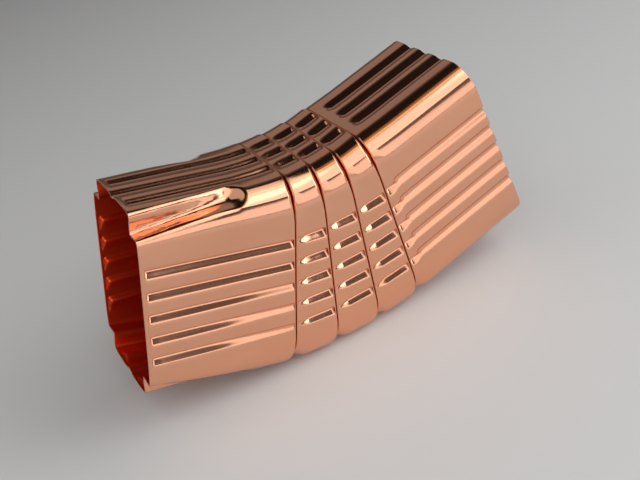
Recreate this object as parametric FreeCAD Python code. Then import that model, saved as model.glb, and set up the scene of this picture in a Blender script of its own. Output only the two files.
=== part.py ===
"""Downspout elbow: one folded copper sheet, corrugated, crimped round a shallow bend.

The elbow lies on its heel. The middle band of the bend is flat on z = 0, the
crimped leg rises to -X and the plain leg to +X. The bend lies in the XZ plane and
both side faces are parallel to it. The origin is below the middle of the elbow's
length, on the plane it lies on. All lengths are millimetres and all angles degrees.
"""
import FreeCAD, Part
import math
import os
from dataclasses import dataclass
from typing import Callable, List, Tuple

NODE = "elbow"

SIZES = [
    ("side_width", 82.5, "heel to throat, over the lands of the plain leg"),
    ("side_depth", 60.3, "side face to side face, over the lands"),
    ("corner_radius", 11.0, "outer radius of the four long corners"),
    ("sheet", 0.55, "thickness of the sheet"),
    ("bend_angle", 28.5, "turn from the crimped leg to the plain leg"),
    ("band_pitch", 21.75, "length of one band along the heel"),
    ("crimped_leg", 62.3, "crimped rim to first crimp, along the heel"),
    ("plain_leg", 61.9, "last crimp to plain rim, along the heel"),
    ("side_groove_pitch", 9.45, "spacing of the five grooves of a side face"),
    ("edge_groove_pitch", 10.9, "spacing of the three grooves of the heel and the throat"),
    ("groove_width", 5.0, "width of a groove at the land"),
    ("groove_floor", 1.0, "width of a groove at its floor"),
    ("groove_depth", 1.5, "depth of a groove"),
    ("groove_close", 1.6, "length over which a groove closes before a crimp or the rim"),
    ("close_flat", 0.3, "flat left between a groove and the shoulder after it"),
    ("lip_flat", 0.9, "flat left between a band's first edge and its grooves"),
    ("groove_lead", 5.0, "length over which a groove of the plain leg opens"),
    ("lead_flat", 1.0, "flat left between the last crimp and the plain leg's grooves"),
    ("rim_flat", 1.6, "flat left between the crimped rim and the grooves"),
    ("crimp_depth", 2.0, "depth of a crimp at the heel"),
    ("crimp_gap", 0.4, "open width of a crimp at its foot"),
    ("heel_shoulder", 2.2, "rounded run of a band into the crimp after it, at the heel"),
    ("throat_shoulder", 1.4, "rounded run of a band into the crimp after it, at the throat"),
    ("crimp_lip", 0.4, "slope of a band out of the crimp before it"),
    ("pinch_length", 40.0, "length of a corner pinch from the crimped rim"),
    ("pinch_depth", 7.0, "depth of a corner pinch at the rim"),
    ("pinch_tip_depth", 4.0, "depth of a corner pinch before its round tip"),
    ("pinch_tip_length", 3.5, "length of the round tip of a corner pinch"),
    ("side_rim_inset", 3.3, "how far the crimped rim is drawn in on the side faces"),
    ("edge_rim_inset", 1.4, "how far the crimped rim is drawn in on the throat and the heel"),
]

SIDE_COUNT = 5
EDGE_COUNT = 3
BANDS = 3
CRIMPS = BANDS + 1
# Corners in the order of a walk round the section: sign across, sign up, first angle.
CORNERS = ((-1, 1, 180), (1, 1, 90), (1, -1, 0), (-1, -1, -90))
# Front side, throat, back side and heel, each after the corner before it in the walk.
FRONT, THROAT, BACK, HEEL = range(4)
# Curved runs in a quarter turn of a corner.
CORNER_ARCS = 3
# Strips across the rounded shoulder before a crimp.
SHOULDER_STRIPS = 4
# Lengths that a corner pinch is divided into, between the rim and its tip.
PINCH_STRIPS = 6
# How far each pole of a corner follows a pinch.
PINCH_SHARE = (0.0, 0.15, 1.0, 0.15, 0.0)
# Share of a pinch's tip after which its floor turns up.
TIP_ROUND = 0.75
# Share of a band's grooves over which they deepen from the crimp before the band.
BAND_RAMP = 0.4
# A pole of a corner is offset at most this many sheets.
MITRE_LIMIT = 1.6

Point = Tuple[float, float]
Height = Callable[[float], float]


@dataclass(frozen=True)
class Station:
    """One cross-section of the sheet, at a place along one segment of the elbow.

    along and the insets take a height above the heel, because a crimp is deeper and a
    band shorter towards the throat. side_inset draws in the side faces and edge_inset
    the throat and the heel.
    """

    segment: int
    along: Height
    side_inset: Height
    edge_inset: Height
    pinch: float = 0.0


@dataclass(frozen=True)
class Groove:
    """One groove of a flat, by its centre across the flat and its two ends.

    A ramp of zero length leaves that end of the groove open at a rim.
    """

    centre: float
    start: float
    end: float
    start_ramp: float
    end_ramp: float


def write_sizes(doc) -> object:
    """Puts the driving dimensions in a sheet, one row each.

    Args:
        doc: the document that holds the elbow.

    Returns:
        The sheet, whose aliases are the names in SIZES.
    """
    sheet = doc.addObject("Spreadsheet::Sheet", "sizes")
    for row, (name, value, words) in enumerate(SIZES, start=1):
        sheet.set(f"A{row}", name)
        sheet.set(f"B{row}", str(value))
        sheet.setAlias(f"B{row}", name)
        sheet.set(f"C{row}", words)
    doc.recompute()
    return sheet


def constant(value: float) -> Height:
    """Returns a function of height that is the same everywhere."""
    return lambda height: value


def full_station(segment: int, along: Height) -> Station:
    """A station of the full section, drawn in nowhere."""
    return Station(segment, along, constant(0.0), constant(0.0))


def half_tangent(rise: float, run: float) -> float:
    """Shift of a fold's line for each unit of offset, for a slope of rise over run."""
    return math.tan(math.atan2(rise, run) / 2)


class Bend:
    """Places of the five segments: crimped leg, three bands and plain leg."""

    def __init__(self, sheet):
        self.turn = math.radians(sheet.bend_angle / CRIMPS)
        self.lengths = [sheet.crimped_leg] + [sheet.band_pitch] * BANDS + [sheet.plain_leg]
        self.middle = (len(self.lengths) - 1) // 2
        self.angles = [(index - self.middle) * self.turn for index in range(len(self.lengths))]
        self.starts = self._heel_points(sheet.edge_rim_inset)

    def _heel_points(self, rim_inset: float) -> List[Point]:
        """Start of each segment on the heel, with the elbow's length centred on the origin.

        The elbow's length runs from the drawn-in heel of the crimped rim to the heel of
        the plain rim.
        """
        points = [(0.0, 0.0)]
        for length, angle in zip(self.lengths, self.angles):
            x, z = points[-1]
            points.append((x + length * math.cos(angle), z + length * math.sin(angle)))
        first = points[0][0] - rim_inset * math.sin(self.angles[0])
        shift_x = (first + points[-1][0]) / 2
        shift_z = points[self.middle][1]
        return [(x - shift_x, z - shift_z) for x, z in points[:-1]]

    def place(self, segment: int, along: float, across: float, height: float) -> FreeCAD.Vector:
        """Turns a segment's own coordinates into the elbow's."""
        x, z = self.starts[segment]
        cos, sin = math.cos(self.angles[segment]), math.sin(self.angles[segment])
        return FreeCAD.Vector(x + along * cos - height * sin, across, z + along * sin + height * cos)


class Skin:
    """One side of the sheet: the outer skin, or the inner one at an offset of one sheet."""

    def __init__(self, sheet, offset: float):
        self.sheet = sheet
        self.offset = offset
        self.bend = Bend(sheet)
        self.faces = []
        self.rims = []
        self._crimped_leg()
        for segment in range(CRIMPS):
            self._crimp(segment)
            if segment < BANDS:
                self._band(segment + 1)
        self._plain_leg()

    def fold(self, height: float) -> float:
        """Depth of a crimp, which takes up the sheet that the turn leaves over."""
        return self.sheet.crimp_depth + height * math.tan(self.bend.turn) / 2

    def outer_edge(self, height: float) -> float:
        """Distance from a segment's start to its first edge, beside the crimp before it."""
        half_gap = self.sheet.crimp_gap / 2
        return height * math.tan(self.bend.turn) + half_gap + self.sheet.crimp_lip

    def edge(self, height: float) -> float:
        """Distance to that edge on this skin, which is the sheet's bend further on inside."""
        return self.outer_edge(height) + self.offset * half_tangent(self.fold(height), self.sheet.crimp_lip)

    def foot(self, height: float) -> float:
        """Distance from a segment's start to the foot of its first edge, in the crimp."""
        return self.edge(height) - self.sheet.crimp_lip

    def shoulder(self, segment: int, height: float) -> float:
        """Distance from a segment's start to the shoulder at its end."""
        s = self.sheet
        run = s.heel_shoulder + (s.throat_shoulder - s.heel_shoulder) * height / s.side_width
        return self.bend.lengths[segment] - s.crimp_gap / 2 - run

    def shoulder_station(self, segment: int) -> Station:
        """The start of a segment's shoulder."""
        def along(height):
            return self.shoulder(segment, height)

        def side_inset(height):
            return self.taper(segment, FRONT, along(height))

        def edge_inset(height):
            return self.taper(segment, THROAT, along(height))

        return Station(segment, along, side_inset, edge_inset)

    def corner(self, station: Station, index: int) -> List[FreeCAD.Vector]:
        """Poles of one rounded corner at one station, from flat to flat.

        A quadratic spline touches the middle of each leg of its control polygon, so
        the inner poles stand a little outside the arc.
        """
        s = self.sheet
        sign_across, sign_up, first = CORNERS[index]
        centre_across = sign_across * (s.side_depth / 2 - s.corner_radius)
        centre_up = s.side_width / 2 + sign_up * (s.side_width / 2 - s.corner_radius)
        step = math.radians(90 / CORNER_ARCS)
        start = math.radians(first)
        turns = [0.0] + [(arc + 0.5) * step for arc in range(CORNER_ARCS)] + [math.radians(90)]
        alongs, outline = [], []
        for turn, share in zip(turns, PINCH_SHARE):
            cos, sin = math.cos(start - turn), math.sin(start - turn)
            height = centre_up + s.corner_radius * sin
            side_pull, edge_pull = station.side_inset(height) / 2, station.edge_inset(height) / 2
            on_flat = turn in (turns[0], turns[-1])
            stretch = 1 if on_flat else 1 / math.cos(step / 2)
            pinch = station.pinch * share * math.sqrt(0.5)
            outline.append((
                centre_across - sign_across * (side_pull + pinch) + (s.corner_radius - side_pull) * stretch * cos,
                centre_up - sign_up * (edge_pull + pinch) + (s.corner_radius - edge_pull) * stretch * sin,
            ))
            alongs.append(station.along(height))
        moved = self._shrink(outline, start)
        return [
            self.bend.place(station.segment, along, *point) for along, point in zip(alongs, moved)
        ]

    def _shrink(self, outline: List[Point], start: float) -> List[Point]:
        """Moves a corner's poles inwards by the offset, square to the legs that meet there."""
        legs = [(math.sin(start), -math.cos(start))]
        for (y0, z0), (y1, z1) in zip(outline, outline[1:]):
            length = math.hypot(y1 - y0, z1 - z0)
            legs.append(((y1 - y0) / length, (z1 - z0) / length))
        end = start - math.radians(90)
        legs.append((math.sin(end), -math.cos(end)))
        moved = []
        for (y, z), (dy0, dz0), (dy1, dz1) in zip(outline, legs, legs[1:]):
            inward = (dz0 + dz1, -dy0 - dy1)
            size = math.hypot(*inward)
            reach = self.offset * min(MITRE_LIMIT, 2 / size) / size
            moved.append((y + inward[0] * reach, z + inward[1] * reach))
        for place, (dy, dz) in ((0, legs[0]), (-1, legs[-1])):
            y, z = outline[place]
            moved[place] = (y + dz * self.offset, z - dy * self.offset)
        return moved

    def flat_point(self, segment: int, side: int, along: float, across: float, depth: float):
        """A point of a flat, by its distance across from the flat's middle."""
        s = self.sheet
        inwards = self.taper(segment, side, along) + self.offset + depth
        middle = s.side_width / 2
        if side == FRONT:
            return self.bend.place(segment, along, inwards - s.side_depth / 2, middle + across)
        if side == BACK:
            return self.bend.place(segment, along, s.side_depth / 2 - inwards, middle - across)
        if side == THROAT:
            return self.bend.place(segment, along, across, s.side_width - inwards)
        return self.bend.place(segment, along, -across, inwards)

    def taper(self, segment: int, side: int, along: float) -> float:
        """How far a flat is drawn in, which only the crimped leg is, most at its rim."""
        s = self.sheet
        if segment:
            return 0.0
        rim_inset = s.side_rim_inset if side in (FRONT, BACK) else s.edge_rim_inset
        return rim_inset * (1 - along / self.shoulder(0, s.side_width))

    def groove_centres(self, side: int) -> List[float]:
        """Centres of a flat's grooves, across from its middle."""
        s = self.sheet
        on_side = side in (FRONT, BACK)
        count = SIDE_COUNT if on_side else EDGE_COUNT
        pitch = s.side_groove_pitch if on_side else s.edge_groove_pitch
        return [(index - (count - 1) / 2) * pitch for index in range(count)]

    def height_at(self, side: int, across: float) -> float:
        """Height above the heel of a place on a flat."""
        s = self.sheet
        heights = {
            FRONT: s.side_width / 2 + across, BACK: s.side_width / 2 - across,
            THROAT: s.side_width, HEEL: 0.0,
        }
        return heights[side]

    def sweep(self, stations: List[Station]) -> None:
        """Adds flats and corners through stations: ruled for two, curved for three."""
        self.sweep_corners(stations)
        for side in range(4):
            self.faces.append(spline_face([
                [self.corner(station, side - 1)[-1], self.corner(station, side)[0]]
                for station in stations
            ]))

    def sweep_corners(self, stations: List[Station]) -> None:
        """Adds the four corners through stations: ruled for two, curved for three."""
        for index in range(4):
            self.faces.append(spline_face([self.corner(station, index) for station in stations]))

    def land(self, side: int, stations: List[Station], grooves: List[Groove]) -> List[list]:
        """Adds a flat with its grooves.

        Args:
            side: which flat.
            stations: where the corners beside it are divided, first and last included.
            grooves: its grooves, in the order of the walk round the section.

        Returns:
            The outlines of its first and last edges, with the profiles of open grooves.
        """
        segment = stations[0].segment
        before = [self.corner(station, side - 1)[-1] for station in stations]
        after = [self.corner(station, side)[0] for station in stations]
        first, last, holes = [], [], []
        rims = [[before[0]], [before[-1]]]
        for groove in grooves:
            ring, profiles = self._groove(segment, side, groove)
            if groove.start_ramp == 0:
                first += [ring[0], ring[3], ring[2], ring[1]]
                rims[0] += profiles[0]
            elif groove.end_ramp == 0:
                last += [ring[3], ring[0], ring[1], ring[2]]
                rims[1] += profiles[1]
            else:
                holes.append(ring)
        outline = [before[0]] + first + after + last[::-1] + before[:0:-1]
        self.faces.append(flat_face(outline, holes))
        rims[0].append(after[0])
        rims[1].append(after[-1])
        return rims

    def _groove(self, segment: int, side: int, groove: Groove):
        """Adds the walls, the floor and the closed ends of one groove.

        Returns:
            Its outline on the land, and its profiles at its start and its end.
        """
        s = self.sheet
        slope_run = (s.groove_width - s.groove_floor) / 2
        widen = half_tangent(s.groove_depth, slope_run) * self.offset
        top, floor = s.groove_width / 2 + widen, s.groove_floor / 2 + widen
        start, end = groove.start, groove.end
        if groove.start_ramp:
            start -= half_tangent(s.groove_depth, groove.start_ramp) * self.offset
        if groove.end_ramp:
            end += half_tangent(s.groove_depth, groove.end_ramp) * self.offset

        def points(along, half, depth):
            return [
                self.flat_point(segment, side, along, groove.centre + sign * half, depth)
                for sign in (-1, 1)
            ]

        start_top, end_top = points(start, top, 0.0), points(end, top, 0.0)
        start_floor = points(start + groove.start_ramp, floor, s.groove_depth)
        end_floor = points(end - groove.end_ramp, floor, s.groove_depth)
        quads = [start_floor + end_floor[::-1]]
        for hand in (0, 1):
            quads.append([start_top[hand], start_floor[hand], end_floor[hand], end_top[hand]])
        if groove.start_ramp:
            quads.append(start_top + start_floor[::-1])
        if groove.end_ramp:
            quads.append(end_top + end_floor[::-1])
        self.faces += [flat_face(quad, []) for quad in quads]
        ring = start_top + end_top[::-1]
        profiles = [
            [tops[0], floors[0], floors[1], tops[1]]
            for tops, floors in ((start_top, start_floor), (end_top, end_floor))
        ]
        return ring, profiles

    def _crimped_leg(self) -> None:
        """The crimped leg, from its rim to its shoulder, with the four corner pinches."""
        s = self.sheet
        tip = s.pinch_length - s.pinch_tip_length

        def station(run, pinch):
            insets = [constant(self.taper(0, side, run)) for side in (FRONT, THROAT)]
            return Station(0, constant(run), *insets, pinch)

        channel = []
        for strip in range(PINCH_STRIPS + 1):
            share = strip / PINCH_STRIPS
            depth = s.pinch_depth + (s.pinch_tip_depth - s.pinch_depth) * share
            channel.append(station(tip * share, depth))
        tip_turn = station(tip + TIP_ROUND * s.pinch_tip_length, s.pinch_tip_depth)
        tip_end = station(s.pinch_length, 0.0)
        shoulder = self.shoulder_station(0)
        for pair in zip(channel, channel[1:]):
            self.sweep_corners(list(pair))
        self.sweep_corners([channel[-1], tip_turn, tip_end])
        self.sweep_corners([tip_end, shoulder])
        edges = []
        for side in range(4):
            centres = self.groove_centres(side)
            grooves = []
            for centre in centres:
                runs_out = side in (THROAT, HEEL) and centre == centres[len(centres) // 2]
                start, ramp = (0.0, 0.0) if runs_out else (s.rim_flat, s.groove_close)
                end = self._groove_end(0, side, centre)
                grooves.append(Groove(centre, start, end, ramp, s.groove_close))
            edges.append(self.land(side, channel + [tip_end, shoulder], grooves)[0])
        self.rims.append(self._rim(channel[0], edges))

    def _band(self, segment: int) -> None:
        """One band of the bend, from its first edge to its shoulder."""
        s = self.sheet
        stations = [full_station(segment, self.edge), self.shoulder_station(segment)]
        self.sweep_corners(stations)
        for side in range(4):
            grooves = []
            for centre in self.groove_centres(side):
                start = self._groove_start(side, centre) + s.lip_flat
                end = self._groove_end(segment, side, centre)
                ramp = BAND_RAMP * (end - s.groove_close - start)
                grooves.append(Groove(centre, start, end, ramp, s.groove_close))
            self.land(side, stations, grooves)

    def _groove_start(self, side: int, centre: float) -> float:
        """Distance to a segment's first edge, beside the wall of a groove that meets it last."""
        half = self.sheet.groove_width / 2
        sides = [self.height_at(side, centre + hand * half) for hand in (-1, 1)]
        return max(self.outer_edge(height) for height in sides)

    def _groove_end(self, segment: int, side: int, centre: float) -> float:
        """Distance to the end of a groove, beside the shoulder after it."""
        half = self.sheet.groove_width / 2
        sides = [self.height_at(side, centre + hand * half) for hand in (-1, 1)]
        return min(self.shoulder(segment, height) for height in sides) - self.sheet.close_flat

    def _plain_leg(self) -> None:
        """The plain leg, whose grooves open after the last crimp and run out to its rim."""
        s = self.sheet
        first = full_station(CRIMPS, self.edge)
        rim = full_station(CRIMPS, constant(s.plain_leg))
        self.sweep_corners([first, rim])
        edges = []
        for side in range(4):
            grooves = []
            for centre in self.groove_centres(side):
                start = self._groove_start(side, centre) + s.lead_flat
                grooves.append(Groove(centre, start, s.plain_leg, s.groove_lead, 0.0))
            edges.append(self.land(side, [first, rim], grooves)[1])
        self.rims.append(self._rim(rim, edges))

    def _crimp(self, segment: int) -> None:
        """The fold between a segment and the next one, square to the first of them."""
        wall = self.bend.lengths[segment] - self.sheet.crimp_gap / 2 - self.offset
        shoulder = self.shoulder_station(segment)

        def turned(share):
            def along(height):
                return wall + (shoulder.along(height) - wall) * (1 - share) ** 2

            def side_inset(height):
                return shoulder.side_inset(height) * (1 - share) ** 2 + self.fold(height) * share ** 2

            def edge_inset(height):
                return shoulder.edge_inset(height) * (1 - share) ** 2 + self.fold(height) * share ** 2

            return Station(segment, along, side_inset, edge_inset)

        stations = [turned(strip / SHOULDER_STRIPS) for strip in range(SHOULDER_STRIPS + 1)]
        stations.append(Station(segment + 1, self.foot, self.fold, self.fold))
        stations.append(full_station(segment + 1, self.edge))
        for pair in zip(stations, stations[1:]):
            self.sweep(list(pair))

    def _rim(self, station: Station, edges: List[list]) -> Part.Wire:
        """The closed wire of a rim, from the outlines of its four flats."""
        pieces = []
        for side, outline in enumerate(edges):
            pieces += Part.makePolygon(outline).Edges
            poles = self.corner(station, side)
            curve = Part.BSplineCurve()
            mults, knots = clamped_knots(len(poles), 2)
            curve.buildFromPolesMultsKnots(poles, mults, knots, False, 2)
            pieces.append(curve.toShape())
        return Part.Wire(pieces)


def clamped_knots(poles: int, degree: int) -> Tuple[List[int], List[int]]:
    """Multiplicities and knots of a spline that starts and ends at its end poles."""
    spans = poles - degree
    return [degree + 1] + [1] * (spans - 1) + [degree + 1], list(range(spans + 1))


def spline_face(net) -> Part.Face:
    """A face on a net of poles, ruled along rows of two and curved along more."""
    rows, columns = len(net), len(net[0])
    row_degree, column_degree = min(rows - 1, 2), min(columns - 1, 2)
    row_mults, row_knots = clamped_knots(rows, row_degree)
    column_mults, column_knots = clamped_knots(columns, column_degree)
    surface = Part.BSplineSurface()
    surface.buildFromPolesMultsKnots(
        net, row_mults, column_mults, row_knots, column_knots,
        False, False, row_degree, column_degree,
    )
    return surface.toShape()


def flat_face(outline, holes) -> Part.Face:
    """A plane face from the corners of its outline and of its holes."""
    return ring_face([Part.makePolygon(points + points[:1]) for points in [outline] + holes])


def ring_face(wires) -> Part.Face:
    """A plane face inside the first wire and outside the others."""
    return Part.makeFace(wires, "Part::FaceMakerBullseye").Faces[0]


def build_elbow(sheet) -> Part.Shape:
    """The sheet as one closed solid: outer skin, inner skin and two rims."""
    outer = Skin(sheet, 0.0)
    inner = Skin(sheet, sheet.sheet)
    rims = [ring_face(list(pair)) for pair in zip(outer.rims, inner.rims)]
    shell = Part.makeShell(outer.faces + inner.faces + rims)
    shell.sewShape()
    solid = Part.makeSolid(shell)
    if solid.Volume < 0:
        solid.reverse()
    return solid


def check(doc, piece) -> None:
    """Stops with a message if the document or the piece is not sound."""
    for item in doc.Objects:
        if "Invalid" in item.State or "Error" in item.State:
            raise RuntimeError(f"{item.Label} did not compute")
    shape = piece.Shape
    if shape.isNull() or not shape.isValid() or len(shape.Solids) != 1:
        raise RuntimeError(f"{piece.Label} is not one valid solid")


def main() -> None:
    """Builds the elbow and writes its file."""
    doc = FreeCAD.newDocument("downspout_elbow")
    sheet = write_sizes(doc)
    piece = doc.addObject("Part::Feature", NODE)
    piece.Label = NODE
    piece.Shape = build_elbow(sheet)
    piece.Placement = FreeCAD.Placement()
    doc.recompute()
    check(doc, piece)
    os.makedirs("parts", exist_ok=True)
    piece.Shape.exportStep(f"parts/{NODE}.step")
    box = piece.Shape.BoundBox
    centre = piece.Shape.CenterOfMass
    print(f"{NODE}: {piece.Shape.Volume:.0f} mm3, box {box.XMin:.1f} {box.YMin:.1f} {box.ZMin:.2f}"
          f" to {box.XMax:.1f} {box.YMax:.1f} {box.ZMax:.1f},"
          f" centre {centre.x:.1f} {centre.y:.1f} {centre.z:.1f}")


main()
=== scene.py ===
"""Downspout elbow of polished copper sheet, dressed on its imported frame.

The sheet is one thin skin. A section of lengthwise lines is extruded from station to
station, from the crimped rim to the plain rim, and then given its thickness. Sizes are
millimetres, as in the solid that the skin stands for, and become metres when a point of
the sheet is placed.
"""
import logging
import math
from dataclasses import dataclass, replace
from enum import Enum, IntEnum
from typing import Callable, Dict, List, Tuple

import bmesh
import bpy
from mathutils import Matrix, Vector


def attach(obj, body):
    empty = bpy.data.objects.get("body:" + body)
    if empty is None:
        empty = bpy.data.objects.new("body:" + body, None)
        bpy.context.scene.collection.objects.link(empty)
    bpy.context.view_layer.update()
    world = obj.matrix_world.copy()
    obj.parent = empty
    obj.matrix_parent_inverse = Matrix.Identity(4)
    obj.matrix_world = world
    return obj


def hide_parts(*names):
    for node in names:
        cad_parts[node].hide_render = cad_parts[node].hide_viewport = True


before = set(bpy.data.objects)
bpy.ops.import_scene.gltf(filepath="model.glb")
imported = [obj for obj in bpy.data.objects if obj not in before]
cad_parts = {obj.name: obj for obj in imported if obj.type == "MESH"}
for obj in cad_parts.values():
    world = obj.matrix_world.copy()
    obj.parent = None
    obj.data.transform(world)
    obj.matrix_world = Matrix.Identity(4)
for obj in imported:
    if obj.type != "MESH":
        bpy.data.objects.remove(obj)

log = logging.getLogger("elbow")

MM = 0.001
NODE = "elbow"
PHOTO_WIDTH = 640


class Side(IntEnum):
    """The four flats, in the order of a walk round the section."""

    FRONT = 0
    THROAT = 1
    BACK = 2
    HEEL = 3

    @property
    def next(self) -> "Side":
        """The flat after this one."""
        return Side((self + 1) % len(Side))

    @property
    def before(self) -> "Side":
        """The flat before this one."""
        return Side((self - 1) % len(Side))

    @property
    def is_edge(self) -> bool:
        """Whether this is the throat or the heel."""
        return self in (Side.THROAT, Side.HEEL)


class Part(Enum):
    """What a station belongs to, which says whether grooves are pressed there."""

    LAND = "land"
    CRIMP = "crimp"


@dataclass(frozen=True)
class SheetSizes:
    """Sizes of the folded sheet, in millimetres and degrees, as in the solid."""

    side_width: float = 82.5
    side_depth: float = 60.3
    sheet: float = 0.55
    bend_angle: float = 28.5
    band_pitch: float = 21.75
    crimped_leg: float = 62.3
    plain_leg: float = 61.9
    side_groove_pitch: float = 9.45
    edge_groove_pitch: float = 10.9
    rim_flat: float = 1.6
    crimp_depth: float = 2.0
    side_rim_inset: float = 3.3
    edge_rim_inset: float = 1.4
    side_grooves: int = 5
    edge_grooves: int = 3
    bands: int = 3

    @property
    def crimps(self) -> int:
        """Number of crimps, one more than the bands between them."""
        return self.bands + 1

    @property
    def turn(self) -> float:
        """Turn at one crimp, in radians."""
        return math.radians(self.bend_angle / self.crimps)


@dataclass(frozen=True)
class PressedForm:
    """Rounded form of the pressed sheet, in millimetres and shares, where the solid has flat walls."""

    # Degrees turned at the end of each run round a corner, from a side face, and the run.
    throat_turns: Tuple[Tuple[float, float], ...] = (
        (4.0, 1.0), (19.0, 2.5), (26.0, 4.0), (41.0, 0.14), (52.0, 4.3), (63.0, 2.0), (90.0, 4.2))
    heel_turns: Tuple[Tuple[float, float], ...] = ((90.0, 17.28),)
    # Pressed V of a side's grooves: its depth, its keel above the centre, its walls below and above.
    side_groove_depth: float = 1.9
    side_groove_keel: float = -0.7
    side_groove_low: float = 2.7
    side_groove_high: float = 0.95
    # Soft wave that the same grooves have on the plain leg.
    plain_groove_depth: float = 1.35
    plain_groove_keel: float = 1.0
    plain_groove_low: float = 4.4
    plain_groove_high: float = 2.2
    # Grooves of the throat and the heel.
    edge_groove_depth: float = 1.3
    edge_groove_half: float = 2.7
    # Softness of a pressed groove's brim and keel, in widths of its wall.
    groove_brim: float = 0.22
    groove_keel: float = 0.16
    # How far the grooved part of a flat reaches past the centre of its last groove.
    grooved_reach: float = 2.9
    # The lower grooves of the crimped leg grow shallow towards the bend.
    fade_share: float = 0.42
    fade_start: float = 16.0
    fade_run: float = 44.0
    fade_height: float = 24.0
    # Grooves of a band: their start after its edge, the shares of their length over which they open,
    # their depth and width at the mouth, and their spread from the start to the end.
    band_start: float = 0.35
    band_open: float = 0.34
    band_brow: float = 0.05
    band_mouth: float = 0.4
    band_mouth_width: float = 0.75
    band_narrow: float = 0.85
    band_wide: float = 1.1
    # Run over which a groove closes, and the flat left between it and the crimp.
    close_run: float = 1.3
    close_flat: float = 0.6
    # Runs over which the plain leg's grooves open, stay pressed and turn into the soft wave.
    lead_open: float = 0.7
    lead_hold: float = 2.6
    lead_run: float = 4.0
    # Crimps: the gap between two segments, the lip after it and the shoulder before it.
    crimp_gap: float = 0.06
    crimp_lip: float = 0.16
    flat_shoulder: float = 0.8
    heel_shoulder: float = 4.4
    throat_shoulder: float = 2.4
    shoulder_reach: float = 13.0
    # Dents after a crimp: scallops in the heel's corners and dimples beside the throat's corners.
    scallop_depth: float = 2.3
    scallop_run: float = 6.0
    scallop_reach: float = 13.5
    dimple_depth: float = 0.7
    dimple_run: float = 6.0
    dimple_place: float = 7.0
    dimple_reach: float = 7.5
    # Share of its run that a dimple has at the middle of the corner.
    dimple_near: float = 0.35
    # Rise of the throat on the bands and after the last crimp, and its flare before each crimp.
    throat_rise: float = 0.4
    throat_rise_run: float = 14.0
    throat_rise_reach: float = 18.0
    throat_flare: float = 1.6
    throat_flare_run: float = 18.0
    # Pinches in the corners of the crimped leg, from its rim to their rounded tips.
    pinch_length: float = 43.0
    pinch_drift: float = 5.0
    pinch_half: float = 5.0
    pinch_rim_depth: float = 6.4
    pinch_tip_depth: float = 4.4
    pinch_brim: float = 0.10
    pinch_keel: float = 0.08
    pinch_tip_keel: float = 0.35
    pinch_spread: float = 1.2
    pinch_spread_reach: float = 17.0


@dataclass(frozen=True)
class Sampling:
    """Where lengthwise lines and stations are set."""

    # Lines: distances from a groove's centre, widest step round a corner, shares of an outer land.
    side_offs: Tuple[float, ...] = (
        -3.5, -3.1, -2.7, -2.1, -1.5, -1.0, -0.7, -0.4, 0.0, 0.4, 1.0, 1.7, 2.4, 3.1, 3.8)
    edge_offs: Tuple[float, ...] = (-2.9, -2.4, -1.7, -0.9, 0.0, 0.9, 1.7, 2.4, 2.9)
    corner_step: float = 1.5
    land_shares: Tuple[float, ...] = (0.0, 0.25, 0.5, 0.75)
    # Stations: shares of the run that each name says, and steps in millimetres.
    shoulder_steps: int = 6
    close_shares: Tuple[float, ...] = (1.0, 0.75, 0.5, 0.3, 0.15, 0.05, 0.0)
    lip_shares: Tuple[float, ...] = (0.0, 0.35, 0.7, 1.0)
    band_shares: Tuple[float, ...] = (0.0, 0.02, 0.05, 0.14, 0.24, 0.33, 0.35, 0.55, 0.8)
    lead_shares: Tuple[float, ...] = (0.0, 0.04, 0.11, 0.25, 0.39, 0.5, 0.6, 0.75, 0.9, 1.0)
    pinch_step: float = 3.0
    tip_step: float = 0.9
    leg_step: float = 8.0
    rim_step: float = 0.2


@dataclass(frozen=True)
class Line:
    """One lengthwise line of the sheet, by its place in the section.

    Attributes:
        side: the flat it lies on, or the flat before its corner.
        place: its place across and up in the full section, from the middle of the heel.
        outward: the outward direction there, across and up.
        pull: how far it moves across and up where the faces are drawn in by 1.
        corner: the flat before the nearest corner.
        arc: distance along the section from the middle of that corner.
        groove: which groove it lies in, or -1.
        off: distance from that groove's centre.
    """

    side: Side
    place: Vector
    outward: Vector
    pull: Vector
    corner: Side
    arc: float
    groove: int = -1
    off: float = 0.0

    @property
    def height(self) -> float:
        """Height above the heel in the full section."""
        return self.place.y


@dataclass(frozen=True)
class Station:
    """One place along the sheet, as functions of a lengthwise line.

    Attributes:
        segment: the leg or band it lies on, counted from the crimped leg.
        along: distance from the segment's start.
        insets: how far the sides, and the throat and the heel, are drawn in.
        part: whether grooves are pressed there.
    """

    segment: int
    along: Callable[[Line], float]
    insets: Callable[[Line], Tuple[float, float]]
    part: Part


def clamp(share: float) -> float:
    """Keeps a share between 0 and 1."""
    return min(1.0, max(0.0, share))


def ease(share: float) -> float:
    """Smooth step of a share, with level ends at 0 and 1."""
    share = clamp(share)
    return share * share * (3 - 2 * share)


def scoop(share: float) -> float:
    """Quarter round of a share: steep at 0 and level at 1."""
    return math.sqrt(1 - (1 - clamp(share)) ** 2)


def bell(share: float) -> float:
    """Smooth hump of a share: 1 at 0, and 0 from 1 outwards."""
    return max(0.0, 1 - share * share) ** 2


def trough(share: float, brim: float, keel: float) -> float:
    """Depth of a pressed V with a rounded brim and a rounded keel.

    Args:
        share: distance from the middle, in half-widths.
        brim: softness of the brim.
        keel: softness of the keel.

    Returns:
        The depth, from about 1 in the middle to 0 outside.
    """
    wall = 1 - (math.hypot(share, keel) - keel)
    return max(0.0, (wall + math.hypot(wall, brim)) / 2 - (math.hypot(1.0, brim) - 1) / 2)


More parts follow.
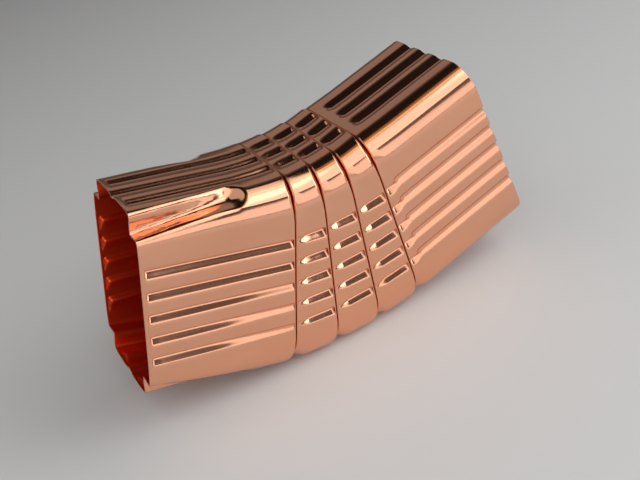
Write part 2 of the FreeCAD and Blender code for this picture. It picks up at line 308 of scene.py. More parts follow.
class Bend:
    """Places of the five segments in the frame."""

    def __init__(self, sizes: SheetSizes) -> None:
        """Lays the segments end to end along the heel.

        Args:
            sizes: the sheet's sizes.
        """
        self.lengths = [sizes.crimped_leg] + [sizes.band_pitch] * sizes.bands + [sizes.plain_leg]
        middle = (len(self.lengths) - 1) // 2
        self.angles = [(index - middle) * sizes.turn for index in range(len(self.lengths))]
        points = [(0.0, 0.0)]
        for length, angle in zip(self.lengths, self.angles):
            x, z = points[-1]
            points.append((x + length * math.cos(angle), z + length * math.sin(angle)))
        first = points[0][0] - sizes.edge_rim_inset * math.sin(self.angles[0])
        shift_x = (first + points[-1][0]) / 2
        shift_z = points[middle][1]
        self.starts = [(x - shift_x, z - shift_z) for x, z in points[:-1]]

    def place(self, segment: int, along: float, across: float, height: float) -> Vector:
        """Turns a segment's own millimetres into the frame's metres.

        Args:
            segment: the leg or band.
            along: distance from its start.
            across: distance from the plane of the bend.
            height: distance above the heel.

        Returns:
            The point, in metres.
        """
        x, z = self.starts[segment]
        cos = math.cos(self.angles[segment])
        sin = math.sin(self.angles[segment])
        return Vector((x + along * cos - height * sin, across, z + along * sin + height * cos)) * MM


class CornerCurve:
    """Outline of a rounded corner, walked from a side face to the throat or the heel."""

    # Length of one step of the walk, and the fewest lines on one run.
    STEP = 0.02
    RUN_LINES = 2

    def __init__(self, turns: Tuple[Tuple[float, float], ...], line_step: float) -> None:
        """Walks the outline in small steps.

        Args:
            turns: degrees turned at the end of each run, and the run's length.
            line_step: widest space between lengthwise lines.
        """
        self.points = [(0.0, 0.0, 0.0)]
        self.length = sum(run for _, run in turns)
        self.shares: List[float] = []
        start = 0.0
        walked = 0.0
        for degrees, run in turns:
            steps = round(run / self.STEP)
            for step in range(1, steps + 1):
                angle = math.radians(start + (degrees - start) * step / steps)
                inside, rise, _ = self.points[-1]
                inside += math.sin(angle) * self.STEP
                rise += math.cos(angle) * self.STEP
                self.points.append((inside, rise, angle))
            count = max(self.RUN_LINES, math.ceil(run / line_step))
            self.shares += [(walked + run * index / count) / self.length for index in range(1, count + 1)]
            start = degrees
            walked += run
        self.shares.pop()
        self.inside, self.rise, _ = self.points[-1]

    def at(self, share: float) -> Tuple[float, float, float]:
        """Distance in from the side face, distance along it, and angle turned, at a share of the walk."""
        return self.points[round(share * (len(self.points) - 1))]


class Section:
    """The lengthwise lines of the sheet, and where each lies in a drawn-in section."""

    # Outward direction of each flat, across and up. A flat is walked along the next one's direction.
    OUTWARD = {Side.FRONT: Vector((-1, 0)), Side.THROAT: Vector((0, 1)), Side.BACK: Vector((1, 0)),
               Side.HEEL: Vector((0, -1))}
    # Share of its neighbour's drawing in that the end of a flat takes up.
    END_PULL = 0.5

    def __init__(self, sizes: SheetSizes, form: PressedForm, sampling: Sampling) -> None:
        """Sets the lines round the section.

        Args:
            sizes: the sheet's sizes.
            form: its rounded form.
            sampling: how close the lines lie.
        """
        self.sizes = sizes
        self.form = form
        self.sampling = sampling
        self.centre = Vector((0.0, sizes.side_width / 2))
        self.curves: Dict[Side, CornerCurve] = {}
        for side in Side:
            at_throat = Side.THROAT in (side, side.next)
            turns = form.throat_turns if at_throat else form.heel_turns
            self.curves[side] = CornerCurve(turns, sampling.corner_step)
        self.lines: List[Line] = []
        for side in Side:
            self._add_flat(side)
            self._add_corner(side)

    def half_width(self, side: Side) -> float:
        """Half the section's width along a flat."""
        return (self.sizes.side_depth if side.is_edge else self.sizes.side_width) / 2

    def flat_ends(self, side: Side) -> Tuple[float, float]:
        """Finds both ends of a flat between its corners.

        Args:
            side: the flat.

        Returns:
            Distances of its start and its end from its middle, along the walk.
        """
        half = self.half_width(side)
        before = self.curves[side.before]
        after = self.curves[side]
        if side.is_edge:
            return before.inside - half, half - after.inside
        return before.rise - half, half - after.rise

    def groove_centres(self, side: Side) -> List[float]:
        """Finds the centres of a flat's grooves.

        Args:
            side: the flat.

        Returns:
            Their distances from the flat's middle, along the walk.
        """
        count = self.sizes.edge_grooves if side.is_edge else self.sizes.side_grooves
        pitch = self.sizes.edge_groove_pitch if side.is_edge else self.sizes.side_groove_pitch
        return [(index - (count - 1) / 2) * pitch for index in range(count)]

    def _add_flat_line(self, side: Side, walk: float, groove: int = -1, off: float = 0.0) -> None:
        """Adds one line of a flat, whose outer lands take up the drawing in of its neighbours.

        Args:
            side: the flat.
            walk: distance from its middle, along the walk.
            groove: which groove the line lies in, or -1.
            off: distance from that groove's centre.
        """
        low, high = self.flat_ends(side)
        outward = self.OUTWARD[side]
        ahead = self.OUTWARD[side.next]
        place = self.centre + outward * self.half_width(side.next) + ahead * walk
        corner = side if walk >= 0 else side.before
        half_corner = self.curves[corner].length / 2
        arc = walk - high - half_corner if walk >= 0 else walk - low + half_corner
        grooved = self.groove_centres(side)[-1] + self.form.grooved_reach
        end = abs(high if walk >= 0 else low)
        squeeze = self.END_PULL * clamp((abs(walk) - grooved) / (end - grooved))
        pull = -outward - ahead * math.copysign(squeeze, walk)
        self.lines.append(Line(side, place, outward, pull, corner, arc, groove, off))

    def _add_flat(self, side: Side) -> None:
        """Adds the lines of a flat: its outer lands, its grooves and the middles of its lands.

        Args:
            side: the flat.
        """
        low, high = self.flat_ends(side)
        centres = self.groove_centres(side)
        offs = list(self.sampling.edge_offs if side.is_edge else self.sampling.side_offs)
        if side == Side.BACK:
            offs = [-off for off in reversed(offs)]
        first = centres[0] + offs[0]
        last = centres[-1] + offs[-1]
        for share in self.sampling.land_shares:
            self._add_flat_line(side, low + (first - low) * share)
        for index, centre in enumerate(centres):
            if index:
                self._add_flat_line(side, (centres[index - 1] + offs[-1] + centre + offs[0]) / 2)
            for off in offs:
                self._add_flat_line(side, centre + off, index, off)
        for share in reversed(self.sampling.land_shares):
            self._add_flat_line(side, high - (high - last) * share)

    def _add_corner(self, side: Side) -> None:
        """Adds the lines of the corner after a flat.

        Args:
            side: the flat.
        """
        curve = self.curves[side]
        face = self.OUTWARD[side.next if side.is_edge else side]
        edge = self.OUTWARD[side if side.is_edge else side.next]
        shares = [1 - share for share in reversed(curve.shares)] if side.is_edge else curve.shares
        for share in shares:
            inside, rise, angle = curve.at(1 - share if side.is_edge else share)
            drop = curve.rise - rise
            place = self.centre + face * (self.sizes.side_depth / 2 - inside)
            place += edge * (self.sizes.side_width / 2 - drop)
            outward = face * math.cos(angle) + edge * math.sin(angle)
            face_pull = 1 - self.END_PULL * inside / curve.inside
            edge_pull = 1 - self.END_PULL * drop / curve.rise
            pull = -face * face_pull - edge * edge_pull
            arc = share * curve.length - curve.length / 2
            self.lines.append(Line(side, place, outward, pull, side, arc))

    def place(self, line: Line, side_inset: float, edge_inset: float) -> Vector:
        """Places a line in a section that is drawn in.

        Args:
            line: the lengthwise line.
            side_inset: how far the sides are drawn in.
            edge_inset: how far the throat and the heel are drawn in.

        Returns:
            Its place across and up.
        """
        return line.place + Vector((line.pull.x * side_inset, line.pull.y * edge_inset))


class ElbowSheet:
    """The folded sheet, extruded station by station and given its thickness."""

    def __init__(self, sizes: SheetSizes, form: PressedForm, sampling: Sampling) -> None:
        """Works out the stations of the sheet.

        Args:
            sizes: the sheet's sizes.
            form: its rounded form.
            sampling: how close lines and stations lie.
        """
        self.sizes = sizes
        self.form = form
        self.sampling = sampling
        self.bend = Bend(sizes)
        self.section = Section(sizes, form, sampling)
        self.stations: List[Station] = []
        self._add_crimped_leg()
        for segment in range(sizes.crimps):
            self._add_crimp(segment)
            if segment < sizes.bands:
                self._add_band(segment + 1)
        self._add_plain_leg()

    def fold(self, line: Line) -> float:
        """Depth of a crimp, which takes up the sheet that the turn leaves over."""
        return self.sizes.crimp_depth + line.height * math.tan(self.sizes.turn) / 2

    def edge(self, line: Line) -> float:
        """Distance from a segment's start to its first edge."""
        return line.height * math.tan(self.sizes.turn) + self.form.crimp_gap / 2 + self.form.crimp_lip

    def wall(self, segment: int) -> float:
        """Distance from a segment's start to the crimp after it."""
        return self.bend.lengths[segment] - self.form.crimp_gap / 2

    def shoulder(self, segment: int, line: Line) -> float:
        """Finds where the shoulder at a segment's end begins, which is earlier at the corners.

        Args:
            segment: the leg or band.
            line: the lengthwise line.

        Returns:
            Its distance from the segment's start.
        """
        form = self.form
        at_throat = line.corner in (Side.FRONT, Side.THROAT)
        corner_run = form.throat_shoulder if at_throat else form.heel_shoulder
        weight = bell(line.arc / form.shoulder_reach)
        return self.wall(segment) - form.flat_shoulder - (corner_run - form.flat_shoulder) * weight

    def groove_end(self, segment: int, line: Line) -> float:
        """Distance from a segment's start to the end of its grooves."""
        return min(self.wall(segment) - self.form.close_flat, self.shoulder(segment, line))

    def insets_at(self, segment: int, along: float) -> Tuple[float, float]:
        """Finds how far the faces are drawn in on a land.

        Args:
            segment: the leg or band.
            along: distance from its start.

        Returns:
            The inset of the sides, and the inset of the throat and the heel.
        """
        if segment:
            return 0.0, 0.0
        share = clamp(1 - along / self.wall(0))
        return self.sizes.side_rim_inset * share, self.sizes.edge_rim_inset * share

    def _land(self, segment: int, along: Callable[[Line], float]) -> None:
        """Adds a station on the land of a segment."""
        self.stations.append(
            Station(segment, along, lambda line: self.insets_at(segment, along(line)), Part.LAND))

    def _add_closing(self, segment: int) -> None:
        """Adds the stations over which a segment's grooves close.

        Args:
            segment: the leg or band.
        """
        for share in self.sampling.close_shares:
            run = share * self.form.close_run
            self._land(segment, lambda line, run=run: self.groove_end(segment, line) - run)

    def _add_crimped_leg(self) -> None:
        """Adds the crimped leg, from its rim to the end of its grooves."""
        sizes = self.sizes
        form = self.form
        sampling = self.sampling
        places = [0.0, sampling.rim_step, sizes.rim_flat / 2]
        places += [sizes.rim_flat + share * form.close_run for share in reversed(sampling.close_shares)]
        while places[-1] + sampling.pinch_step < form.pinch_length - 2 * form.pinch_half:
            places.append(places[-1] + sampling.pinch_step)
        while places[-1] < form.pinch_length + form.pinch_half / 2:
            places.append(places[-1] + sampling.tip_step)
        while places[-1] + sampling.leg_step < self.wall(0) - form.heel_shoulder - form.close_run:
            places.append(places[-1] + sampling.leg_step)
        for place in places:
            self._land(0, lambda line, place=place: place)
        self._add_closing(0)

    def _add_band(self, segment: int) -> None:
        """Adds one band of the bend, after its first edge.

        Args:
            segment: the band.
        """
        for share in self.sampling.band_shares:
            def along(line: Line, share: float = share) -> float:
                """The station's place at a share of the way to where the grooves close."""
                start = self.edge(line) + self.form.band_start
                close = self.groove_end(segment, line) - self.form.close_run
                return start + share * (close - start)

            self._land(segment, along)
        self._add_closing(segment)

    def _add_plain_leg(self) -> None:
        """Adds the plain leg, from its first edge to its rim."""
        sizes = self.sizes
        form = self.form
        last = sizes.crimps
        lead = form.band_start + form.lead_hold + form.lead_run
        for share in self.sampling.lead_shares:
            run = form.band_start + share * (lead - form.band_start)
            self._land(last, lambda line, run=run: self.edge(line) + run)
        steps = math.ceil((sizes.plain_leg - lead) / self.sampling.leg_step)
        rim = sizes.plain_leg - self.sampling.rim_step
        for index in range(1, steps + 1):
            def along(line: Line, share: float = index / steps) -> float:
                """The station's place at a share of the way from the lead to the rim."""
                start = self.edge(line) + lead
                return start + share * (rim - start)

            self._land(last, along)
        self._land(last, lambda line: sizes.plain_leg)

    def _add_crimp(self, segment: int) -> None:
        """Adds the rounded shoulder, the fold and the lip between two segments.

        Args:
            segment: the leg or band before the crimp.
        """
        wall = self.wall(segment)
        for step in range(1, self.sampling.shoulder_steps + 1):
            share = step / self.sampling.shoulder_steps

            def along(line: Line, share: float = share) -> float:
                """The station's place on the shoulder, which turns level to steep."""
                return wall + (self.shoulder(segment, line) - wall) * (1 - share) ** 2

            def insets(line: Line, share: float = share) -> Tuple[float, float]:
                """How far the shoulder has sunk there."""
                start = self.insets_at(segment, self.shoulder(segment, line))
                sunk = self.fold(line) * share ** 2
                return start[0] * (1 - share) ** 2 + sunk, start[1] * (1 - share) ** 2 + sunk

            self.stations.append(Station(segment, along, insets, Part.CRIMP))
        for share in self.sampling.lip_shares:
            def lip_along(line: Line, share: float = share) -> float:
                """The station's place on the lip, which leans out of the fold."""
                return self.edge(line) - self.form.crimp_lip * (1 - share)

            def lip_insets(line: Line, share: float = share) -> Tuple[float, float]:
                """How deep the lip still lies there."""
                sunk = self.fold(line) * (1 - share)
                return sunk, sunk

            self.stations.append(Station(segment + 1, lip_along, lip_insets, Part.CRIMP))

    def groove_depth(self, segment: int, along: float, line: Line) -> float:
        """Finds the depth of the groove under a line.

        Args:
            segment: the leg or band.
            along: distance from its start.
            line: the lengthwise line.

        Returns:
            The depth, in millimetres.
        """
        form = self.form
        if line.groove < 0:
            return 0.0
        end = self.groove_end(segment, line)
        opened = 1.0
        plain = 0.0
        closed = scoop((end - along) / form.close_run)
        if segment == self.sizes.crimps:
            run = along - self.edge(line) - form.band_start
            plain = ease((run - form.lead_hold) / form.lead_run)
            opened = plain if line.side.is_edge else scoop(run / form.lead_open)
            closed = 1.0
        elif segment == 0:
            middle = line.groove == self.sizes.edge_grooves // 2
            if not (middle and line.side.is_edge):
                opened = scoop((along - self.sizes.rim_flat) / form.close_run)
            if not line.side.is_edge:
                top = (self.sizes.side_width + form.fade_height) / 2
                low = clamp((top - line.height) / form.fade_height)
                opened *= 1 - form.fade_share * low * ease((along - form.fade_start) / form.fade_run)
        else:
            start = self.edge(line) + form.band_start
            share = clamp((along - start) / (end - form.close_run - start))
            ramp = clamp(share / form.band_open)
            opened = (form.band_mouth + (1 - form.band_mouth) * ramp) * scoop(share / form.band_brow)
            if not line.side.is_edge:
                spread = form.band_narrow + (form.band_wide - form.band_narrow) * share
                mouth = form.band_mouth_width + (1 - form.band_mouth_width) * ramp
                line = replace(line, off=line.off / (spread * mouth))
                opened *= spread
        return opened * closed * self._groove_profile(line, plain)

    def _groove_profile(self, line: Line, plain: float) -> float:
        """Depth of a groove across its width: even walls on the edges, a short upper wall on the sides.

        Args:
            line: the lengthwise line.
            plain: share of the plain leg's soft wave in a side's groove.

        Returns:
            The depth, in millimetres.
        """
        form = self.form
        if line.side.is_edge:
            return form.edge_groove_depth * trough(line.off / form.edge_groove_half, form.groove_brim,
                                                   form.groove_keel)
        upwards = line.off if line.side == Side.FRONT else -line.off
        above = upwards - form.plain_groove_keel
        run = form.plain_groove_high if above > 0 else form.plain_groove_low
        wave = form.plain_groove_depth * ease(1 - abs(above) / run)
        above = upwards - form.side_groove_keel
        run = form.side_groove_high if above > 0 else form.side_groove_low
        pressed = form.side_groove_depth * trough(above / run, form.groove_brim, form.groove_keel)
        return pressed + (wave - pressed) * plain

    def corner_dent(self, segment: int, along: float, line: Line) -> float:
        """Finds how far a band or the plain leg is dented beside the crimp before it.

        Args:
            segment: the leg or band.
            along: distance from its start.
            line: the lengthwise line.

        Returns:
            The depth, in millimetres.
        """
        form = self.form
        if segment == 0:
            return 0.0
        run = max(0.0, along - self.edge(line))
        if line.corner in (Side.BACK, Side.HEEL):
            reach = bell(line.arc / form.scallop_reach)
            return form.scallop_depth * reach * (1 - ease(run / form.scallop_run))
        on_side = (line.corner == Side.FRONT) == (line.arc < 0)
        if not on_side:
            return 0.0
        reach = bell((abs(line.arc) - form.dimple_place) / form.dimple_reach)
        length = form.dimple_run * min(1.0, form.dimple_near + abs(line.arc) / (2 * form.dimple_place))
        return form.dimple_depth * reach * (1 - ease(run / length))

    def throat_rise(self, segment: int, along: float, line: Line) -> float:
        """Finds how far the throat stands up before a crimp, on the bands and after the last crimp.

        Args:
            segment: the leg or band.
            along: distance from its start.
            line: the lengthwise line.

        Returns:
            The rise, in millimetres.
        """
        form = self.form
        if segment == self.sizes.crimps:
            rise = form.throat_rise * (1 - ease((along - self.edge(line)) / form.throat_rise_run))
        else:
            before = (self.wall(segment) - along) / form.throat_flare_run
            rise = form.throat_flare * clamp(1 - before) ** 2
            rise += form.throat_rise if segment else 0.0
        return rise * ease(1 - (self.sizes.side_width - line.height) / form.throat_rise_reach)

    def pinch_pull(self, along: float, line: Line) -> float:
        """Finds how far a pinch, which drifts towards the throat or the heel, pulls a line in.

        Args:
            along: distance from the crimped rim.
            line: the lengthwise line.

        Returns:
            The pull, in millimetres.
        """
        form = self.form
        centre = form.pinch_length - form.pinch_half
        share = clamp(along / centre)
        depth = form.pinch_rim_depth + (form.pinch_tip_depth - form.pinch_rim_depth) * share
        drift = form.pinch_drift * share * (-1 if line.corner.is_edge else 1)
        away = math.hypot(line.arc - drift, max(0.0, along - centre)) / form.pinch_half
        keel = form.pinch_keel + (form.pinch_tip_keel - form.pinch_keel) * share ** 3
        spread = form.pinch_spread * (1 - ease(share)) * bell(line.arc / form.pinch_spread_reach)
        return depth * trough(away, form.pinch_brim, keel) + spread

    def point(self, station: Station, line: Line) -> Vector:
        """Places one point of the sheet's outer skin.

        Args:
            station: the place along the sheet.
            line: the lengthwise line.

        Returns:
            The point, in metres.
        """
        along = station.along(line)
        place = self.section.place(line, *station.insets(line))
        depth = self.corner_dent(station.segment, along, line)
        if station.part == Part.LAND:
            depth += self.groove_depth(station.segment, along, line)
        place -= line.outward * depth
        place.y += self.throat_rise(station.segment, along, line)
        if station.segment == 0:
            corner = Section.OUTWARD[line.corner] + Section.OUTWARD[line.corner.next]
            place -= corner.normalized() * self.pinch_pull(along, line)
        return self.bend.place(station.segment, along, place.x, place.y)

    def build(self) -> bpy.types.Object:
        """Extrudes the section through the stations.

        Returns:
            The sheet's object, at the origin, with a map of the flat sheet.
        """
        mesh = bmesh.new()
        lines = self.section.lines
        ring = [mesh.verts.new(self.point(self.stations[0], line)) for line in lines]
        edges = [mesh.edges.new((start, end)) for start, end in zip(ring, ring[1:] + ring[:1])]
        rows = [ring]
        for station in self.stations[1:]:
            extruded = bmesh.ops.extrude_edge_only(mesh, edges=edges)
            verts = set(item for item in extruded["geom"] if isinstance(item, bmesh.types.BMVert))
            edges = [item for item in extruded["geom"] if isinstance(item, bmesh.types.BMEdge)
                     and all(vert in verts for vert in item.verts)]
            ring = []
            for before, line in zip(rows[-1], lines):
                vert = next(edge.other_vert(before) for edge in before.link_edges
                            if edge.other_vert(before) in verts)
                vert.co = self.point(station, line)
                ring.append(vert)
            rows.append(ring)
        self._map_sheet(mesh, rows)
        bmesh.ops.recalc_face_normals(mesh, faces=mesh.faces)
        for face in mesh.faces:
            face.smooth = True
        data = bpy.data.meshes.new("elbow_sheet")
        mesh.to_mesh(data)
        mesh.free()
        piece = bpy.data.objects.new("elbow_sheet", data)
        bpy.context.scene.collection.objects.link(piece)
        thickness = piece.modifiers.new("sheet_thickness", "SOLIDIFY")
        thickness.thickness = self.sizes.sheet * MM
        thickness.offset = -1.0
        # The inner skin takes the second material, whose deep red is painted reflection.
        thickness.material_offset = 1
        return piece

    def _map_sheet(self, mesh: bmesh.types.BMesh, rows: List[List[bmesh.types.BMVert]]) -> None:
        """Gives each face corner its place on the flat sheet, in metres along and round.

        Args:
            mesh: the sheet's outer skin.
            rows: its points, station by station and line by line.
        """
        layer = mesh.loops.layers.uv.new("sheet")
        place: Dict[bmesh.types.BMVert, Tuple[int, int]] = {}
        for row, ring in enumerate(rows):
            for column, vert in enumerate(ring):
                place[vert] = (row, column)
        count = len(self.section.lines)
        # The front flat comes first and has about a quarter of the lines.
        middle = count // len(Side) // 2
        runs = [0.0]
        for before, after in zip(rows, rows[1:]):
            runs.append(runs[-1] + (after[middle].co - before[middle].co).length)
        rounds = [0.0]
        last = rows[-1]
        for before, after in zip(last, last[1:] + last[:1]):
            rounds.append(rounds[-1] + (after.co - before.co).length)
        for face in mesh.faces:
            columns = [place[vert][1] for vert in face.verts]
            wraps = max(columns) - min(columns) > 1
            for loop in face.loops:
                row, column = place[loop.vert]
                if wraps and column == 0:
                    column = count
                loop[layer].uv = (runs[row], rounds[column])


def linear(code: str) -> Tuple[float, float, float, float]:
    """Turns an sRGB hex colour into linear red, green, blue and alpha.

    Args:
        code: six hex digits after a hash.

    Returns:
        The linear colour, opaque.
    """
    values = []
    for start in (1, 3, 5):
        value = int(code[start:start + 2], 16) / 255
        values.append(value / 12.92 if value <= 0.04045 else ((value + 0.055) / 1.055) ** 2.4)
    return values[0], values[1], values[2], 1.0


class Graph:
    """A material's or a world's node tree, filled node by node."""

    def __init__(self, tree: bpy.types.NodeTree) -> None:
        """Empties a node tree.

        Args:
            tree: the tree to fill.
        """
        self.tree = tree
        self.tree.nodes.clear()

    def add(self, kind: str, settings: dict, links: dict) -> bpy.types.Node:
        """Adds one node.

        Args:
            kind: the node's type name.
            settings: its properties, and input values by the input's name or number.
            links: output sockets by the input's name or number.

        Returns:
            The node.
        """
        node = self.tree.nodes.new(kind)
        for key, value in settings.items():
            if isinstance(key, int) or key in node.inputs:
                node.inputs[key].default_value = value
            else:
                setattr(node, key, value)
        for key, socket in links.items():
            self.tree.links.new(socket, node.inputs[key])
        return node


def new_material(name: str) -> Tuple[bpy.types.Material, Graph]:
    """Starts a material with an empty node tree.

    Args:
        name: the real material and how it was made.

    Returns:
        The material and its graph.
    """
    material = bpy.data.materials.new(name)
    material.use_nodes = True
    return material, Graph(material.node_tree)


# Sockets of a colour mix: its two colours and its result.
MIX_FIRST, MIX_SECOND, MIX_RESULT = 6, 7, 2


@dataclass(frozen=True)
class CopperFinish:
    """Bright copper sheet, cold rolled and polished, with fine lines along the sheet."""

    name: str
    colour: str
    warm: str
    roughness: float
    # Streaks along the sheet: what they add to the roughness, their size, and their noise.
    streak_spread: float = 0.06
    streak_width: float = 0.9
    streak_length: float = 60.0
    streak_detail: float = 4.0
    streak_grain: float = 0.6
    streak_low: float = 0.3
    streak_high: float = 0.7
    # Broad waves of the sheet, and the fine brushing on them.
    wave_size: float = 26.0
    wave_height: float = 0.03
    wave_detail: float = 2.0
    brush_height: float = 0.002
    brush_strength: float = 0.25

    def make(self) -> bpy.types.Material:
        """Makes the finish, which gives the eye a soft mirror with lengthwise haze.

        Returns:
            The material.
        """
        material, graph = new_material(self.name)
        place = graph.add("ShaderNodeUVMap", {"uv_map": "sheet"}, {}).outputs["UV"]
        fine = graph.add("ShaderNodeMapping", {
            "Scale": (1 / (self.streak_length * MM), 1 / (self.streak_width * MM), 1.0),
        }, {"Vector": place}).outputs["Vector"]
        streaks = graph.add("ShaderNodeTexNoise", {
            "Scale": 1.0, "Detail": self.streak_detail, "Roughness": self.streak_grain,
        }, {"Vector": fine}).outputs["Fac"]
        rough = graph.add("ShaderNodeMapRange", {
            "From Min": self.streak_low, "From Max": self.streak_high,
            "To Min": self.roughness - self.streak_spread / 2,
            "To Max": self.roughness + self.streak_spread / 2,
        }, {"Value": streaks}).outputs["Result"]
        body = graph.add("ShaderNodeTexCoord", {}, {}).outputs["Object"]
        broad = graph.add("ShaderNodeTexNoise", {
            "Scale": 1 / (self.wave_size * MM), "Detail": self.wave_detail,
        }, {"Vector": body}).outputs["Fac"]
        colour = graph.add("ShaderNodeMix", {
            "data_type": "RGBA", MIX_FIRST: linear(self.colour), MIX_SECOND: linear(self.warm),
        }, {"Factor": broad}).outputs[MIX_RESULT]
        waves = graph.add("ShaderNodeBump", {"Strength": 1.0, "Distance": self.wave_height * MM},
                          {"Height": broad}).outputs["Normal"]
        brushed = graph.add("ShaderNodeBump", {
            "Strength": self.brush_strength, "Distance": self.brush_height * MM,
        }, {"Height": streaks, "Normal": waves}).outputs["Normal"]
        shader = graph.add("ShaderNodeBsdfPrincipled", {"Metallic": 1.0}, {
            "Base Color": colour, "Roughness": rough, "Normal": brushed,
        }).outputs["BSDF"]
        graph.add("ShaderNodeOutputMaterial", {}, {"Surface": shader})
        return material


OUTSIDE = CopperFinish("copper_sheet_rolled_and_polished", "#F3B495", "#EDA985", 0.13)
# The inside's deep red is painted reflection: it stands in for the copper reflecting itself many times
# over, which deepens its colour to red.
INSIDE_PAINTED_REFLECTION = CopperFinish("copper_sheet_inside_painted_reflection", "#F05C33", "#E64C26", 0.4)


@dataclass(frozen=True)
class FloorFinish:
    """A plain pale matt table top."""

    colour: str = "#D8DBDE"
    roughness: float = 0.6

    def make(self) -> bpy.types.Material:
        """Makes the finish, which gives the eye a pale ground and a soft shadow.

        Returns:
            The material.
        """
        material, graph = new_material("table_top_painted_matt")
        shader = graph.add("ShaderNodeBsdfPrincipled", {
            "Base Color": linear(self.colour), "Roughness": self.roughness,
        }, {}).outputs["BSDF"]
        graph.add("ShaderNodeOutputMaterial", {}, {"Surface": shader})
        return material


@dataclass(frozen=True)
class SoftBox:
    """One rectangular studio lamp, placed round the elbow by its direction.

    Attributes:
        name: the lamp's name.
        turned: degrees from the front towards the plain end.
        raised: degrees above the floor.
        away: distance from the elbow, in metres.
        size: width and height, in metres.
        glow: brightness of its face, where 1 is white.
        colour: the light's colour.
    """

    name: str
    turned: float
    raised: float
    away: float
    size: Tuple[float, float]
    glow: float
    colour: str = "#FFFFFF"

    def make(self) -> bpy.types.Object:
        """Makes the lamp.

        Returns:
            The lamp's object.
        """
        lamp = bpy.data.lights.new(self.name, "AREA")
        lamp.shape = "RECTANGLE"
        lamp.size, lamp.size_y = self.size
        lamp.energy = self.glow * math.pi * lamp.size * lamp.size_y
        lamp.color = linear(self.colour)[:3]
        thing = bpy.data.objects.new(self.name, lamp)
        turned = math.radians(self.turned)
        raised = math.radians(self.raised)
        towards = Vector((math.sin(turned) * math.cos(raised), -math.cos(turned) * math.cos(raised),
                          math.sin(raised)))
        thing.location = towards * self.away
        thing.rotation_euler = (-towards).to_track_quat("-Z", "Y").to_euler()
        bpy.context.scene.collection.objects.link(thing)
        return thing


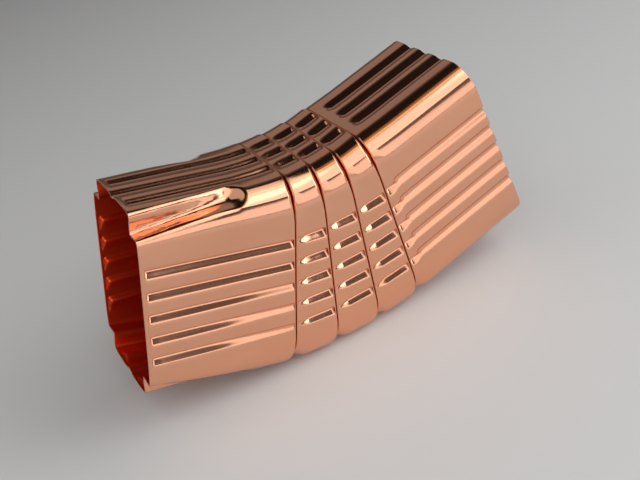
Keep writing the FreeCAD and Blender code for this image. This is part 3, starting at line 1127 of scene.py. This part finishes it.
@dataclass(frozen=True)
class Stage:
    """The floor, the lamps and the world round the elbow."""

    floor_size: float = 12.0
    # The world's colours low down and overhead, and the heights of a direction between which they mix.
    low_world: str = "#5E5856"
    high_world: str = "#1E1B1A"
    mix_from: float = 0.6
    mix_to: float = 0.8
    lamps: Tuple[SoftBox, ...] = (
        SoftBox("side_fill", -95.0, 58.0, 1.1, (0.9, 0.9), 0.6),
        SoftBox("right_key", 75.0, 52.0, 1.1, (0.9, 0.8), 1.0),
        SoftBox("front_high", 10.0, 52.0, 1.2, (2.4, 0.7), 1.4),
        SoftBox("front_low", -5.0, 11.0, 1.35, (2.2, 0.44), 1.1),
        SoftBox("front_left", -20.0, 28.5, 1.35, (1.5, 0.38), 1.0),
        SoftBox("warm_strip", 16.0, 72.0, 1.15, (1.6, 0.12), 1.3, "#FFE0A8"),
        SoftBox("warm_edge", 16.0, 80.0, 1.15, (1.6, 0.2), 0.3, "#FFD9A0"),
        SoftBox("back_fill", 170.0, 34.0, 1.2, (0.9, 0.4), 0.18),
        SoftBox("right_window", 50.0, 22.0, 1.25, (0.6, 0.6), 3.0),
    )

    def build(self, floor_finish: FloorFinish) -> bpy.types.Object:
        """Builds the stage.

        Args:
            floor_finish: the floor's material.

        Returns:
            The floor.
        """
        mesh = bmesh.new()
        bmesh.ops.create_grid(mesh, x_segments=1, y_segments=1, size=self.floor_size / 2)
        data = bpy.data.meshes.new("floor")
        mesh.to_mesh(data)
        mesh.free()
        data.materials.append(floor_finish.make())
        floor = bpy.data.objects.new("floor", data)
        bpy.context.scene.collection.objects.link(floor)
        for lamp in self.lamps:
            lamp.make()
        self._make_world()
        bpy.context.scene.view_settings.view_transform = "Standard"
        return floor

    def _make_world(self) -> None:
        """Makes the world, a dim room that is darker overhead."""
        world = bpy.data.worlds.new("studio")
        world.use_nodes = True
        graph = Graph(world.node_tree)
        towards = graph.add("ShaderNodeTexCoord", {}, {}).outputs["Generated"]
        height = graph.add("ShaderNodeSeparateXYZ", {}, {"Vector": towards}).outputs["Z"]
        share = graph.add("ShaderNodeMapRange", {"From Min": self.mix_from, "From Max": self.mix_to},
                          {"Value": height}).outputs["Result"]
        colour = graph.add("ShaderNodeMix", {
            "data_type": "RGBA", MIX_FIRST: linear(self.low_world), MIX_SECOND: linear(self.high_world),
        }, {"Factor": share}).outputs[MIX_RESULT]
        shader = graph.add("ShaderNodeBackground", {}, {"Color": colour}).outputs["Background"]
        graph.add("ShaderNodeOutputWorld", {}, {"Surface": shader})
        bpy.context.scene.world = world


@dataclass(frozen=True)
class PhotoCamera:
    """The camera at the photograph's angle.

    Attributes:
        place: where it stands, in metres.
        view: the direction it looks in.
        right: the direction that lies to the right in the picture.
        focal_pixels: focal length, in pixels of the picture.
        sensor: width of the sensor, in millimetres.
        nearest: distance from which things are seen, in metres.
    """

    place: Tuple[float, float, float] = (-0.12194, -0.30689, 0.24594)
    view: Tuple[float, float, float] = (0.32114, 0.78078, -0.53595)
    right: Tuple[float, float, float] = (0.84551, -0.49131, -0.2091)
    focal_pixels: float = 897.6
    sensor: float = 36.0
    nearest: float = 0.01

    def make(self) -> bpy.types.Object:
        """Makes the camera and gives it to the scene.

        Returns:
            The camera's object.
        """
        data = bpy.data.cameras.new("photo_camera")
        data.sensor_width = self.sensor
        data.lens = self.focal_pixels * self.sensor / PHOTO_WIDTH
        data.clip_start = self.nearest
        thing = bpy.data.objects.new("photo_camera", data)
        back = -Vector(self.view).normalized()
        right = Vector(self.right)
        right = (right - back * right.dot(back)).normalized()
        up = back.cross(right)
        turn = Matrix((right, up, back)).transposed()
        thing.matrix_world = Matrix.Translation(self.place) @ turn.to_4x4()
        bpy.context.scene.collection.objects.link(thing)
        bpy.context.scene.camera = thing
        return thing


def main() -> None:
    """Builds the elbow, the stage and the camera in order."""
    logging.basicConfig(level=logging.INFO, format="%(message)s")
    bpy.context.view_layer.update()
    piece = ElbowSheet(SheetSizes(), PressedForm(), Sampling()).build()
    for finish in (OUTSIDE, INSIDE_PAINTED_REFLECTION):
        piece.data.materials.append(finish.make())
    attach(piece, "root")
    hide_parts(NODE)
    log.info("elbow sheet: %d faces", len(piece.data.polygons))
    Stage().build(FloorFinish())
    log.info("stage built")
    PhotoCamera().make()
    log.info("camera set")


if __name__ == "__main__":
    main()
